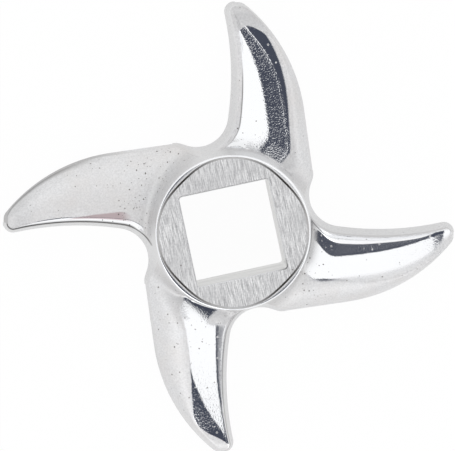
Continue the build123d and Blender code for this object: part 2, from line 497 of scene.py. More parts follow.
def ramp(value, start, end):
    """0 at the start, 1 at the end and a smooth change between, in either direction."""
    share = np.clip((value - start) / (end - start), 0, 1)
    return share * share * (3 - 2 * share)


def past(distance, softness):
    """0 before a line and 1 past it, changing over a softness across the line."""
    return ramp(distance, -softness / 2, softness / 2)


def hump(value, middle, half_width, power=2):
    """1 in the middle, fading to both sides."""
    return np.exp(-(((value - middle) / half_width) ** power))


def edge_rows(edge):
    """One row of edge data for each row of the grid."""
    radius = np.linalg.norm(edge[:, edge_xy], axis=1)
    run = np.concatenate([[0], np.cumsum(np.linalg.norm(np.diff(edge[:, edge_xy], axis=0), axis=1))])
    outside = int(np.argmax(radius > ring_radius + spread_width))
    at_radius = ring_radius + spread_width * np.linspace(0, 1, rows_in_spread) ** hub_crowding
    near = np.interp(at_radius, radius[: outside + 1], run[: outside + 1])
    even = np.linspace(0, 1, rows_on_arm + 1)[1:]
    far = tip_crowding * np.sin(even * math.pi / 2) + (1 - tip_crowding) * even
    places = np.concatenate([near, near[-1] + (run[-1] - near[-1]) * far])
    return np.stack([np.interp(places, run, column) for column in edge.T], 1)


front_rows = edge_rows(front_edge)
back_rows = edge_rows(back_edge)
front_rows[0, edge_xy] = front_edge[0, edge_xy]
back_rows[0, edge_xy] = back_edge[0, edge_xy]
front_rows[-1] = back_rows[-1]
print("rows:", len(front_rows), "of", points_across, "points")

# %% The plan of one row


def row_points(front, back, straightness):
    """Plan points of one row, bent round the hub or straight."""
    angles = [math.atan2(end[1], end[0]) for end in (front, back)]
    radii = [np.linalg.norm(end) for end in (front, back)]
    radius = radii[0] + (radii[1] - radii[0]) * across
    bent = radius[:, None] * around(angles[0] + (angles[1] - angles[0]) * across)
    level = front + (back - front) * across[:, None]
    return bent + (level - bent) * straightness


first_row = row_points(front_rows[0, edge_xy], back_rows[0, edge_xy], 0)
print("the first row lies", np.linalg.norm(first_row, axis=1).mean().round(2), "mm from the axis")

# %% [markdown]
# The height along a row is the cross-section. It is written as slopes, because slopes
# are what a bright surface shows: the outward lean of the land, the fall, the glide, the
# rise, the lean back. Adding the slopes up gives the heights. The back then rolls over
# in one curve.

# %% Cross-section of an arm
land_lean = math.tan(math.radians(4))  # the land leans to the outside
land_most = 1 / 6  # greatest share of the width that the land takes
tiny, least_width = 1e-9, 0.001  # keep a division from meeting a zero
least_fall, least_floor = 1.2, 1.1  # a fall is at least this many lands wide, a floor this many falls out
turn_over = 0.5  # millimetres over which the slope changes at the lowest line and the ridge
full_depth_width = 8.0  # arms narrower than this, near the tip, have shallower scoops
shoulder_fall = 0.06  # slope that has set in by the shoulder
dip_end, dip_length = 23.0, 6.0  # where the dip at a root ends, and its length
mark_height = 0.055
mark_width = 0.24
bite_full, bite_end = 0.12, 0.32  # shares of the width from a bite's middle: in full, and gone
front_easing, back_easing = 0.08, 0.25  # shares of a row that ease into the walls' upper edges


def section_height(distance, width, y, scoop, crest, back):
    """Heights at distances from the crest along a row of some width."""
    narrow = min(width / full_depth_width, 1)
    land = min(scoop.land, width * land_most)
    fall = max(float(line_at(scoop.fall, y)) * width, land * least_fall)
    floor = max(float(line_at(scoop.floor, y)) * width, fall * least_floor)
    ridge = max(float(line_at(scoop.ridge, y)) * width, floor + turn_over)
    shoulder = max(float(line_at(scoop.shoulder, y)) * width, ridge + turn_over)
    rise = float(line_at(scoop.rise, y))
    depth = along(y, scoop.depth) * narrow + scoop.dip * max(dip_end - y, 0) ** 2 / dip_length**2
    fall_drop = land * land_lean + depth - scoop.glide * (floor - fall) / 2
    steep = 2 * fall_drop / (fall - land) - scoop.glide
    places = [0, land, land, fall, floor, floor + turn_over, ridge, ridge + turn_over, shoulder]
    slopes = [land_lean, land_lean, -steep, -scoop.glide, 0, rise, rise, 0, -shoulder_fall]
    # Between two places the slope changes evenly, so the height follows a parabola.
    places, slopes = np.array(places, float), np.array(slopes)
    lengths = np.diff(places)
    heights = crest + np.concatenate([[0], np.cumsum((slopes[1:] + slopes[:-1]) / 2 * lengths)])
    part = np.clip(np.searchsorted(places, distance, side="right") - 1, 0, len(lengths) - 1)
    further = distance - places[part]
    bend = np.diff(slopes)[part] / np.maximum(lengths[part], tiny)
    height = heights[part] + slopes[part] * further + bend * further**2 / 2

    rolling = distance > places[-1]
    back_width = max(width - places[-1], tiny)
    share = (distance[rolling] - places[-1]) / back_width
    straight_fall = slopes[-1] * back_width
    height[rolling] = heights[-1] + straight_fall * share
    height[rolling] -= (heights[-1] + straight_fall - back) * share ** along(y, scoop.roll)
    if scoop.belt_mark is not None:
        aside = distance - float(line_at(scoop.belt_mark, y)) * width
        height += mark_height * hump(aside, 0, mark_width) * narrow
    return height


print("slope of the land:", round(land_lean, 3), "and its greatest share:", round(land_most, 2))

# %% The grid of an arm's top


def arm_top(scoop):
    """Grid of points on an arm's top: x, y, height, share across and distance out of the row."""
    grid = []
    for number, (front, back) in enumerate(zip(front_rows, back_rows)):
        out = max(number - rows_in_spread + 1, 0) / rows_on_arm
        plan = row_points(front[edge_xy], back[edge_xy], ramp(out, 0, straight_share))
        steps = np.linalg.norm(np.diff(plan, axis=0), axis=1)
        distance = np.concatenate([[0], np.cumsum(steps)])
        y = plan[:, 1].mean()
        width = max(distance[-1], least_width)
        height = section_height(distance, width, y, scoop, front[own_height], back[own_height])
        from_bite = np.abs(across - line_at(scoop.floor, y) - scoop.bite_middle)
        height = blended(height, plan, scoop.bite * ramp(from_bite, bite_end, bite_full))
        # The ends of the row take the heights of the walls' upper edges.
        to_front = (front[wall_top] - height[0]) * ramp(across, front_easing, 0)
        to_back = (back[wall_top] - height[-1]) * ramp(across, 1 - back_easing, 1)
        height = height + to_front + to_back
        grid.append(np.column_stack([plan, height, across, np.full(points_across, y)]))
    return np.array(grid)


sample = arm_top(scoops[0])
print("arm top:", sample.shape, "up to", sample[..., 2].max().round(2), "mm high")

# %% [markdown]
# ## How each part of the surface was finished, and where light is painted
#
# The grid also remembers, point by point, how the metal was worked there: how far it was
# buffed, how much orange peel the buffing left and how pitted the skin is. It also holds
# painted light: where a reddish reflection is painted beside a crest, and where shade is
# painted as darker metal. The materials read these as attributes later, so each follows the shape of the
# arm.

# %% Kinds of finish
# The last two kinds are painted light: a reddish reflection, and shade painted as darker metal.
finishes = ("polish", "peel", "pits", "stain", "burr")


def worked(grid, **amounts):
    """Finish of a grid's points: the kinds that are named, and none of the rest."""
    finish = np.zeros(np.shape(grid)[:2] + (len(finishes),))
    for kind, amount in amounts.items():
        finish[..., finishes.index(kind)] = amount
    return finish


print("kinds of finish:", ", ".join(finishes))

# %% [markdown]
# Each of the five has edges of its own. Places across the arm are shares of its width
# from the crest, and places along it are distances out from the hub's axis, in
# millimetres. Where two places stand in a pair, the finish changes from one to the other.

# %% Where buffing, painted shade, peel, pits and a painted reddish reflection lie
end_bow = 15.0  # how round the outer end of the buffing is, in mm over the square of the share
end_middle, end_edge = 0.42, 0.6  # share across at which it reaches furthest, and its softness in mm
polish_fading, burr_fading = (1.0, -3.0), (0.0, -6.0)  # either side of the end of the painted shade along the crest
floor_edge, corner_edge = 0.06, 0.06  # softness of the polish at the lowest line and the matt corner
corner_out = (22, 20)  # distances out between which a matt corner sets in
land_edge = 0.15  # softness of the polish beside a bare land

crest_burr = 0.27  # width of the painted shade along the crest
burr_root = (19.5, 22.0)  # distances out over which it sets in
land_burr, land_burr_width = 0.85, 0.14  # painted shade along the crease on the inner side of a bare land
land_burr_middle, land_burr_reach = 30, 11  # where along the arm it is strongest, and its reach

# Painted shade in the hollow at the foot of the hub, at the root, along the trailing edge and at the tip
foot_shade = 0.12
foot_radius, foot_width = 22.4, 1.5  # hollow at the foot of the hub, where that shade is painted
root_shade_across = (0.45, 0.35)
edge_shade_across, edge_shade_out = (0.90, 1.02), (34, 48)
tip_shade_out = (50, 56)

peel_growth, peel_growth_out = 0.42, (38, 46)  # more orange peel towards the tip
peel_behind_mark, mark_edge = 0.5, 0.02  # and less of it behind the belt's mark
least_pits, pits_middle, pits_reach = 0.2, 22, 7  # pits are thickest near the root

red_reflection_line = (0.0, 0.155, 0.115, 0.06, 0.0, 0.0, 0.0, 0.0)  # how far from the crest the painted reddish reflection reaches
red_reflection_gap = 0.045  # clean metal between the crest and the painted reflection
red_reflection_edge, gap_edge = 0.015, 0.012  # how softly it ends on either side
red_reflection_start, red_reflection_lean = 21.5, 12.0  # distance out at which it begins, and more away from the crest
red_reflection_onset = (-1.5, 3.5)
print("the bloom reaches", max(red_reflection_line), "of the width from the crest")

# %% The finish of each point of an arm's top


def top_finish(grid, scoop):
    """Polish, orange peel, pits, painted reddish reflection and painted shade for each point of an arm's
    top.
    """
    share, out = grid[..., 3], grid[..., 4]
    from_axis = np.linalg.norm(grid[..., :2], axis=-1)
    from_crest = share * np.linalg.norm(grid[:, -1, :2] - grid[:, 0, :2], axis=-1)[:, None]
    past_land = from_crest - scoop.land
    past_burr = out - scoop.burr_end

    polish = past(line_at(scoop.buffed, out) - share, along(out, scoop.edge))
    polish *= past(out - scoop.start, scoop.start_edge)
    polish *= past(scoop.end - end_bow * (share - end_middle) ** 2 - out, end_edge)
    beside_crest = scoop.crest_polish * ramp(past_burr, *polish_fading)
    polish *= beside_crest + (1 - beside_crest) * past(share - line_at(scoop.floor, out), floor_edge)
    matte = ramp(share, scoop.matte_corner, scoop.matte_corner - corner_edge)
    polish *= 1 - matte * ramp(out, *corner_out)

    # Painted shade: a dark line along the crest, then darker metal at the hub's foot, the root, the trailing
    # edge and the tip.
    burr = scoop.burr * hump(from_crest, 0, crest_burr) * ramp(out, *burr_root)
    burr *= ramp(past_burr, *burr_fading)
    shade_amount = foot_shade + scoop.root_shade * ramp(share, *root_shade_across)
    burr += shade_amount * hump(from_axis, foot_radius, foot_width)
    burr += scoop.edge_shade * ramp(share, *edge_shade_across) * ramp(out, *edge_shade_out)
    burr += scoop.tip_shade * ramp(from_axis, *tip_shade_out) * (1 - polish)
    if scoop.bare_land:
        polish *= past(past_land, land_edge)
        # A dark line of painted shade runs along the crease beside a bare land.
        along_land = hump(out, land_burr_middle, land_burr_reach, power=4)
        burr += land_burr * hump(past_land, 0, land_burr_width) * along_land

    peel = polish * scoop.peel * (1 + peel_growth * ramp(out, *peel_growth_out))
    if scoop.belt_mark is not None:
        behind_mark = ramp(share - line_at(scoop.belt_mark, out), 0, mark_edge)
        peel *= 1 - (1 - peel_behind_mark) * behind_mark
    pits = scoop.pits * (least_pits + (1 - least_pits) * hump(out, pits_middle, pits_reach))
    # A reddish reflection is painted beside the crest.
    red_reflection = past(line_at(red_reflection_line, out) - share, red_reflection_edge) * past(share - red_reflection_gap, gap_edge)
    red_reflection *= ramp(out - red_reflection_start - red_reflection_lean * share, *red_reflection_onset) * scoop.stain
    return worked(grid, polish=polish, peel=peel, pits=pits, stain=red_reflection, burr=np.minimum(burr, 1))


sample_finish = top_finish(sample, scoops[0])
print("buffed share of the first arm's points:", round(float((sample_finish[..., 0] > 0.5).mean()), 2))

# %% [markdown]
# ## From grids to a mesh
#
# A small collector takes grids of points, joins neighbours into four-sided faces and
# notes which zone of the casting each face belongs to. Points on a shared edge are made
# twice here, and welded once the arms stand together.

# %% A collector of grids
zones = ("hub_face", "arm_top", "cast_wall", "drive_hole", "plate_side")
print("zones:", ", ".join(zones))


class Casting:
    """Points, faces, zones and finish of a mesh in the making, in millimetres."""

    def __init__(self):
        self.points, self.faces, self.zone, self.finish = [], [], [], []
        self.total = 0

    def add_grid(self, grid, zone, finish=None, keep=None):
        """Add a grid of points, and a face for each cell unless keep says otherwise."""
        grid = np.asarray(grid, float)
        rows, columns = grid.shape[:2]
        numbers = self.total + np.arange(rows * columns).reshape(rows, columns)
        cells = np.stack([numbers[:-1, :-1], numbers[1:, :-1], numbers[1:, 1:], numbers[:-1, 1:]], -1)
        cells = cells.reshape(-1, 4) if keep is None else cells[keep]
        self.points.append(grid[..., :3].reshape(-1, 3))
        self.faces += cells.tolist()
        self.zone += [zones.index(zone)] * len(cells)
        self.finish.append((worked(grid) if finish is None else finish).reshape(-1, len(finishes)))
        self.total += rows * columns

    def to_object(self, name):
        mesh = bpy.data.meshes.new(name)
        mesh.from_pydata((np.vstack(self.points) * millimetre).tolist(), [], self.faces)
        mesh.attributes.new("zone", "INT", "FACE").data.foreach_set("value", self.zone)
        finish = np.vstack(self.finish)
        for number, kind in enumerate(finishes):
            mesh.attributes.new(kind, "FLOAT", "POINT").data.foreach_set("value", finish[:, number].copy())
        return bpy.data.objects.new(name, mesh)

# %% [markdown]
# ## Walls, valley, hub side and plate side of one quarter
#
# The walls stand between the foot of the outline and the upper edges. On the plate side
# only a strip along each cutting edge touches the plate. Behind it the metal is ground
# back a little, so that the strip alone has to be kept sharp. The lowest row of the
# walls is left out where the metal is ground back, and a small step closes the gap.

# %% Walls
levels_in_wall = 7  # between the relief and the upper edge


def wall_grid(foot, edge, height):
    """Columns from the plate side up to the upper edge, with one level at the relief."""
    levels = np.concatenate([[0], np.linspace(0, 1, levels_in_wall + 1)])
    grid = []
    for base, top, top_height in zip(foot, edge, height):
        z = relief_depth + (top_height - relief_depth) * levels
        z[0] = 0
        plan = base + (top - base) * (z / top_height)[:, None]
        grid.append(np.column_stack([plan, z]))
    return np.array(grid)


sample_wall = wall_grid(front_rows[:, foot_xy], front_rows[:, edge_xy], front_rows[:, wall_top])
print("a wall:", sample_wall.shape[0], "columns of", sample_wall.shape[1], "points")

# %% The strip on the plate side, and the relief behind it
strip_points, hub_points = 90, 24  # points of the relief's edge beside the strip and round the hub


def relief_edge():
    """Line on the plate side where the relief begins, and the wall columns it ends at."""
    feet = back_rows[:, foot_xy]
    tip_column = len(feet) - 1
    root_column = int(np.argmax(feet[:, 1] > relief_start))
    strip_radius = cutting_bow + cutting_land
    hub_clear = hub_foot_radius + relief_hub_gap
    hub_corner = meeting(hub_axis, hub_clear, cutting_centre, strip_radius, -1)
    root_y = feet[root_column, 1]
    root_corner = np.array([math.sqrt(hub_clear**2 - root_y**2), root_y])
    strip_end = cutting_centre + unit(feet[tip_column] - cutting_centre) * strip_radius
    along_strip = circle_points(cutting_centre, strip_end, hub_corner, strip_points)
    along_strip[0] = feet[tip_column]
    round_hub = circle_points(hub_axis, hub_corner, root_corner, hub_points)
    return np.vstack([along_strip, round_hub[1:], feet[root_column]]), root_column, tip_column


step_line, root_column, tip_column = relief_edge()
print("relief from column", root_column, "to column", tip_column, "of", len(back_rows))

# %% Side and rim of the hub
levels_in_hub = 6
chamfer_steps = 5
burr_arcs = 4  # stretches of the rim with the most painted shade
burr_start = math.radians(33)
burr_least = 0.28
rim_burr = 0.5  # width of the painted shade
rim_inset = 0.8  # how far it stands in from the rim at the middle of those stretches
face_edge = (0.01, 0.05)  # rows between the rim and the painted shade, and how far in from the rim they lie


def ring_points(angles, radius, height):
    return np.column_stack([radius * np.cos(angles), radius * np.sin(angles), np.full(len(angles), height)])


def hub_side(angles):
    """Side of the hub over one arm or valley."""
    share = np.linspace(0, 1, levels_in_hub)
    radii = ring_radius + (hub_face_radius + hub_edge_chamfer - ring_radius) * share
    heights = flare_top + (hub_height - hub_edge_chamfer - flare_top) * share
    return np.array([ring_points(angles, radius, height) for radius, height in zip(radii, heights)])


def hub_rim(angles, turn):
    """Broken edge round the ground face, with a dark line of painted shade inside it in places."""
    bend = np.linspace(0, math.pi / 2, chamfer_steps + 1)
    radii = hub_face_radius + hub_edge_chamfer * np.cos(bend)
    heights = hub_height - hub_edge_chamfer + hub_edge_chamfer * np.sin(bend)
    round_hub = 0.5 + 0.5 * np.cos(burr_arcs * (angles + turn - burr_start))
    inset = rim_inset * round_hub**2
    rim = [ring_points(angles, radius, height) for radius, height in zip(radii, heights)]
    for step in (*face_edge, face_edge[-1] + rim_burr):
        rim.append(ring_points(angles, hub_face_radius - inset - step, hub_height))
    # The two innermost rows carry a dark line of painted shade inside the rim.
    row = np.arange(len(rim))[:, None]
    burr = (row >= len(rim) - 2) * (burr_least + (1 - burr_least) * round_hub)
    return np.array(rim), worked(rim, polish=row < len(rim) - 3, burr=burr)


print("levels on the hub's side:", len(hub_side(np.array([0, 0.1]))))

# %% One quarter of the casting
burr_levels = 2  # rows of the wall below the crest that carry its painted shade
valley_columns = 10
wall_shade = 0.5  # painted shade on the wall below a shaded trailing edge, as a share of the edge's own
wall_shade_out = (23.8, 37.8)  # distances out over which it sets in


def quarter(scoop, number):
    """One arm, the valley to its right and the hub's side and rim above them."""
    turn = math.radians(arm_turn) + number * 2 * math.pi / arm_count
    casting = Casting()
    top = arm_top(scoop)
    casting.add_grid(top, "arm_top", top_finish(top, scoop))
    front_wall = wall_grid(front_rows[:, foot_xy], front_rows[:, edge_xy], front_rows[:, wall_top])
    # The top rows of the crest's wall carry the crest's painted shade, so they take the arm's finish.
    burred = np.arange(front_wall.shape[1]) >= front_wall.shape[1] - burr_levels
    burr = scoop.burr * ramp(front_rows[:, edge_y], *burr_root) * burred
    burred_rows = slice(-burr_levels - 1, None)
    casting.add_grid(front_wall[:, :-burr_levels], "cast_wall")
    casting.add_grid(front_wall[:, burred_rows], "arm_top", worked(front_wall, burr=burr)[:, burred_rows])

    back_wall = wall_grid(back_rows[:, foot_xy], back_rows[:, edge_xy], back_rows[:, wall_top])
    keep = np.ones((back_wall.shape[0] - 1, back_wall.shape[1] - 1), bool)
    keep[root_column:tip_column, 0] = False
    # Below a trailing edge with painted shade, the wall takes the arm's finish, which carries that painted
    # shade.
    shade_amount = wall_shade * scoop.edge_shade * ramp(back_rows[:, edge_y], *wall_shade_out)
    zone = "arm_top" if scoop.edge_shade else "cast_wall"
    casting.add_grid(back_wall, zone, worked(back_wall, burr=shade_amount), keep)

    far_foot, far_edge = turned(front_rows[0, foot_xy], -90), turned(front_rows[0, edge_xy], -90)
    foot = circle_points(right_valley, back_rows[0, foot_xy], far_foot, valley_columns + 1)
    ring = circle_points(hub_axis, back_rows[0, edge_xy], far_edge, valley_columns + 1)
    casting.add_grid(wall_grid(foot, ring, np.full(valley_columns + 1, flare_top)), "cast_wall")

    for edge in (top[0], ring):
        angles = np.arctan2(edge[:, 1], edge[:, 0])
        casting.add_grid(hub_side(angles), "cast_wall")
        rim, rim_finish = hub_rim(angles, turn)
        casting.add_grid(rim, "arm_top", rim_finish)

    relief_wall = back_wall[root_column : tip_column + 1, 1]
    step_top = np.column_stack([step_line, np.full(len(step_line), relief_depth)])
    step_top[0], step_top[-1] = relief_wall[-1], relief_wall[0]
    step_foot = np.column_stack([step_line, np.zeros(len(step_line))])
    casting.add_grid([step_foot, step_top], "plate_side")
    return casting.to_object(f"arm_{number}")


arms = bpy.data.collections.new("arms")
for number, scoop in enumerate(scoops):
    arms.objects.link(quarter(scoop, number))

# %% [markdown]
# ## The drive hole
#
# The hole is broached square, so its walls are straight, its corners are rounded only as
# much as the broach's own corners, and its rim has the small bevel that a file leaves.

# %% Drive hole
corner_steps = 8
side_steps = 12
levels_in_hole = 9
rim_bevel = 0.3
bevel_polish = 0.7
shaded_corner = (1, -1)  # the corner of the hole whose bevel has painted shade
corner_shade_reach = 1.9


def square_loop(grow, height):
    """The hole's outline, grown outwards a little, at some height."""
    half = drive_square / 2 + grow
    rounding = drive_corner + grow
    loop = []
    for quarter_turn in range(4):
        angles = np.radians(90 * quarter_turn) + np.linspace(0, math.pi / 2, corner_steps + 1)
        centre = turned(np.array([half - rounding, half - rounding]), 90 * quarter_turn)
        bend = centre + rounding * around(angles)
        next_start = turned(bend[0], 90)
        side = np.linspace(bend[-1], next_start, side_steps + 1)[1:-1]
        loop += [bend, side]
    loop = np.vstack(loop)
    loop = np.vstack([loop, loop[:1]])
    return np.column_stack([loop, np.full(len(loop), height)])


def drive_hole():
    casting = Casting()
    heights = np.linspace(hub_height - rim_bevel, rim_bevel, levels_in_hole)
    bevel = np.array([square_loop(rim_bevel, hub_height), square_loop(0, heights[0])])
    # Painted shade darkens the bevel round one corner of the hole.
    to_corner = np.linalg.norm(bevel[..., :2] - np.array(shaded_corner) * drive_square / 2, axis=-1)
    burr = hump(to_corner, 0, corner_shade_reach)
    casting.add_grid(bevel, "arm_top", worked(bevel, polish=bevel_polish, burr=burr))
    loops = [square_loop(0, height) for height in heights]
    casting.add_grid([*loops, square_loop(rim_bevel, 0)], "drive_hole")
    return casting.to_object("drive_hole")


hole = drive_hole()
bpy.context.scene.collection.objects.link(hole)
print("hole mesh:", len(hole.data.polygons), "faces")

# %% [markdown]
# ## Materials
#
# The whole knife is one metal, but hardly any of it looks alike, because the eye reads
# how it was worked. So there is one stainless steel and five finishes: the face ground
# on a surface grinder, the buffed and satin arm tops, the blasted walls, the broached
# hole and the lapped plate side. Each finish is a base colour with layers over it, and
# each layer has a share that says where it covers. Colours are written as hex values,
# as a designer gives them, and turned to Blender's linear values in one place.

# %% Colours


def linear(colour):
    """An sRGB hex colour as Blender's linear red, green, blue and alpha."""
    parts = [int(colour[place : place + 2], 16) / 255 for place in (1, 3, 5)]
    return [part / 12.92 if part <= 0.04045 else ((part + 0.055) / 1.055) ** 2.4 for part in parts] + [1.0]


print("middle grey, linear:", round(linear("#808080")[0], 3))

# %% Nodes


def node(tree, kind, inputs=None, output=0, **settings):
    """Add a node with its settings, links and values, and give back one of its outputs."""
    made = tree.nodes.new(kind)
    for name, value in settings.items():
        setattr(made, name, value)
    for key, value in (inputs or {}).items():
        if isinstance(value, bpy.types.NodeSocket):
            tree.links.new(value, made.inputs[key])
        elif isinstance(value, str) and value.startswith("#"):
            made.inputs[key].default_value = linear(value)
        else:
            made.inputs[key].default_value = value
    return made.outputs[output] if len(made.outputs) else made


# The sockets of a Mix node that blends colours.
share_socket, first_colour, second_colour, mixed_colour = 0, 6, 7, 2
print("a Mix node takes its colours at sockets", first_colour, "and", second_colour)

# %% Patterns and finishes


def per(size):
    """Scale of a pattern whose features are this many millimetres apart."""
    return 1 / (size * millimetre)


def stretched(low, high, to_low=0.0, to_high=1.0):
    """Inputs of a Map Range node that stretches one range to another."""
    return {"From Min": low, "From Max": high, "To Min": to_low, "To Max": to_high}


def steel(name, pattern):
    """A stainless steel finish. The pattern gives a colour, layers over it and other sockets."""
    material = bpy.data.materials.new(name)
    material.use_nodes = True
    tree = material.node_tree
    shader = tree.nodes["Principled BSDF"]
    shader.inputs["Metallic"].default_value = 1.0
    colour, layers, sockets = pattern(tree, node(tree, "ShaderNodeTexCoord", output="Object"))
    for share, layer in layers:
        blend = {share_socket: share, first_colour: colour, second_colour: layer}
        colour = node(tree, "ShaderNodeMix", blend, mixed_colour, data_type="RGBA")
    for key, socket in {"Base Color": colour, **sockets}.items():
        tree.links.new(socket, shader.inputs[key])
    return material


pit_floor = 0.35  # share of a pit's size that its flat floor takes


def pits(tree, place, spacing, size, share):
    """Round pits of a size, one in some of the cells of a spacing. 1 in a pit, 0 outside."""
    distance = node(tree, "ShaderNodeTexVoronoi", {"Vector": place, "Scale": per(spacing)}, "Distance")
    range_in = stretched(size / spacing, pit_floor * size / spacing)
    inside = node(tree, "ShaderNodeMapRange", {"Value": distance, **range_in})
    lot = node(tree, "ShaderNodeSeparateColor", {"Color": distance.node.outputs["Color"]}, output="Red")
    chosen = node(tree, "ShaderNodeMath", {0: lot, 1: share}, operation="LESS_THAN")
    return node(tree, "ShaderNodeMath", {0: inside, 1: chosen}, operation="MULTIPLY")


print("a pattern 0.5 mm apart has the scale", per(0.5))

# %% [markdown]
# ### Ground face
#
# A surface grinder leaves straight, shallow scratches, all one way. The grit is far
# finer than a pixel, so the scratches are drawn coarser, about 0.2 mm apart, and a grain
# of twice that breaks them up. They make the face an even, lively grey with no mirror
# image in it.

# %% Ground stainless steel
scratch_spacing, ground_grain, ground_clouds = 0.19, 0.5, 8.0  # mm apart
scratch_length = 0.06  # the pattern runs this many times slower along a scratch
scratch_depth, ground_pore_depth = 0.024 * millimetre, 0.08 * millimetre
finish_of_zone = {}


def ground_finish(tree, place):
    """Surface-ground: fine straight lines broken by grain, and a few open pores."""
    drawn_out = node(tree, "ShaderNodeMapping", {"Vector": place, "Scale": (1.0, scratch_length, 1.0)})
    scratches = {"Vector": drawn_out, "Scale": per(scratch_spacing), "Detail": 2.0}
    fine = node(tree, "ShaderNodeTexNoise", scratches)
    grain = node(tree, "ShaderNodeTexNoise", {"Vector": place, "Scale": per(ground_grain), "Detail": 3.0})
    cloud = node(tree, "ShaderNodeTexNoise", {"Vector": place, "Scale": per(ground_clouds), "Detail": 3.0})
    pores = pits(tree, place, 2.2, 0.26, 0.12)
    lines = node(tree, "ShaderNodeMix", {"Factor": 0.25, "A": fine, "B": grain})
    tone = node(tree, "ShaderNodeMapRange", {"Value": lines, **stretched(0.37, 0.63)})
    clouded = node(tree, "ShaderNodeMapRange", {"Value": cloud, **stretched(0.35, 0.7, 0.0, 0.5)})
    relief = node(tree, "ShaderNodeBump", {"Height": lines, "Distance": scratch_depth})
    holed = {"Height": pores, "Distance": ground_pore_depth, "Normal": relief}
    return "#adadaf", [(tone, "#fbfbfb"), (clouded, "#cacacb"), (pores, "#77736f")], {
        "Roughness": node(tree, "ShaderNodeMapRange", {"Value": lines, **stretched(0.3, 0.7, 0.60, 0.50)}),
        "Normal": node(tree, "ShaderNodeBump", holed, invert=True),
    }


finish_of_zone["hub_face"] = steel("ground_stainless_steel", ground_finish)
print("ground finish:", len(finish_of_zone["hub_face"].node_tree.nodes), "nodes")

# %% [markdown]
# ### Arm tops
#
# One finish serves the buffed scoop, the satin band behind it and the skin at the root
# and the tip, because on the real casting they run into each other. The attributes say
# how much of each there is. Buffing cannot level a casting's skin completely: it leaves
# orange peel, which breaks dark reflections into a glitter. The peel, the satin's grain
# and the pits are drawn a little coarser than they are, so that they show.

# %% Buffed and satin stainless steel
satin_grain, warm_patches, peel_spacing = 0.45, 9.0, 0.34  # mm apart
satin_depth, peel_depth, hole_depth = 0.022 * millimetre, 0.036 * millimetre, 0.09 * millimetre
most_pores, most_pin_holes = 0.45, 0.35  # share of the places that have one where the skin is worst
most_red_reflection = 0.75
mirror_roughness = 0.05


def arm_finish(tree, place):
    """Buffed cast stainless: mirror bright in the scoop, satin behind it."""
    read = {
        kind: node(tree, "ShaderNodeAttribute", output="Fac", attribute_name=kind, attribute_type="GEOMETRY")
        for kind in finishes
    }
    grain = node(tree, "ShaderNodeTexNoise", {"Vector": place, "Scale": per(satin_grain), "Detail": 3.0})
    cloud = node(tree, "ShaderNodeTexNoise", {"Vector": place, "Scale": per(warm_patches), "Detail": 3.0})
    # Noise lies on a grid. Turned askew to the surface, that grid never shows as a pattern.
    askew = node(tree, "ShaderNodeMapping", {"Vector": place, "Rotation": (0.6, 0.5, 0.4)})
    peel = node(tree, "ShaderNodeTexNoise", {"Vector": askew, "Scale": per(peel_spacing), "Detail": 1.0})

    pore_share = node(tree, "ShaderNodeMath", {0: read["pits"], 1: most_pores}, operation="MULTIPLY")
    pin_share = node(tree, "ShaderNodeMath", {0: read["pits"], 1: most_pin_holes}, operation="MULTIPLY")
    pores = pits(tree, place, 1.05, 0.25, pore_share)
    pin_holes = pits(tree, place, 0.7, 0.14, pin_share)
    holes = node(tree, "ShaderNodeMath", {0: pores, 1: pin_holes}, operation="MAXIMUM")

    tone = node(tree, "ShaderNodeMapRange", {"Value": grain, **stretched(0.3, 0.7)})
    warm = node(tree, "ShaderNodeMapRange", {"Value": cloud, **stretched(0.4, 0.7, 0.0, 0.4)})
    red_reflection = node(tree, "ShaderNodeMath", {0: read["stain"], 1: most_red_reflection}, operation="MULTIPLY")
    # The reddish layer is a painted reflection, and the darkest layer is painted shade.
    layers = [
        (tone, "#ececed"), (warm, "#ddd9d6"), (read["polish"], "#f4f5f7"),
        (red_reflection, "#b59fa2"), (holes, "#5f5a54"), (read["burr"], "#3b3937"),
    ]
    rough = node(tree, "ShaderNodeMapRange", {"Value": grain, **stretched(0.3, 0.7, 0.50, 0.62)})
    unbuffed = node(tree, "ShaderNodeMath", {0: 1.0, 1: read["polish"]}, operation="SUBTRACT")
    skin = node(tree, "ShaderNodeMath", {0: grain, 1: unbuffed}, operation="MULTIPLY")
    peeled = node(tree, "ShaderNodeMath", {0: peel, 1: read["peel"]}, operation="MULTIPLY")
    relief = node(tree, "ShaderNodeBump", {"Height": skin, "Distance": satin_depth})
    relief = node(tree, "ShaderNodeBump", {"Height": peeled, "Distance": peel_depth, "Normal": relief})
    holed = {"Height": holes, "Distance": hole_depth, "Normal": relief}
    buffed = {"Factor": read["polish"], "A": rough, "B": mirror_roughness}
    return "#d7d7d8", layers, {
        "Roughness": node(tree, "ShaderNodeMix", buffed),
        "Normal": node(tree, "ShaderNodeBump", holed, invert=True),
    }


finish_of_zone["arm_top"] = steel("buffed_stainless_steel", arm_finish)
print("buffed finish:", len(finish_of_zone["arm_top"].node_tree.nodes), "nodes")

# %% [markdown]
# ### Walls, hole and plate side
#
# The walls keep the casting's blasted skin: bright, but quite without a mirror image.
# The broach leaves lines round the hole, and the plate side is lapped flat with its
# grinding lines still showing. All three are finer than a pixel on the real knife, so
# they are drawn coarser here.

# %% Blasted stainless steel
blast_grain = 0.45
blast_depth, wall_pore_depth = 0.025 * millimetre, 0.06 * millimetre


